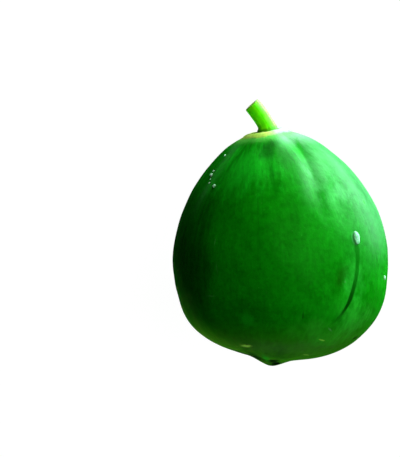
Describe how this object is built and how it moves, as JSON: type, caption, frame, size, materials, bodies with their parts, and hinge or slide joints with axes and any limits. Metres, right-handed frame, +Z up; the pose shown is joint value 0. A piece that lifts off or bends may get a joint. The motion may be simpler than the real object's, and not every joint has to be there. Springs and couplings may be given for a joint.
{
  "type": "papaya",
  "caption": "Unripe green papaya, broad and round with lobed shoulders, a pale ring round its cut stalk and a small pointed blossom end, lying on its side.",
  "frame": {"origin": "on the flat spot that the fruit lies on, under its belly", "axes": "+Y along the fruit's axis from the blossom end to the stalk, +Z up away from the ground, +X to the fruit's right when it is seen from above with the stalk at the top"},
  "size_m": [0.139, 0.1737, 0.1331],
  "materials": {
    "skin": "satin",
    "stalk": "satin",
    "latex": "satin"
  },
  "bodies": {
    "root": {"fruit_body": "skin", "stem": "stalk", "latex_bead": "latex"}
  },
  "joints": []
}
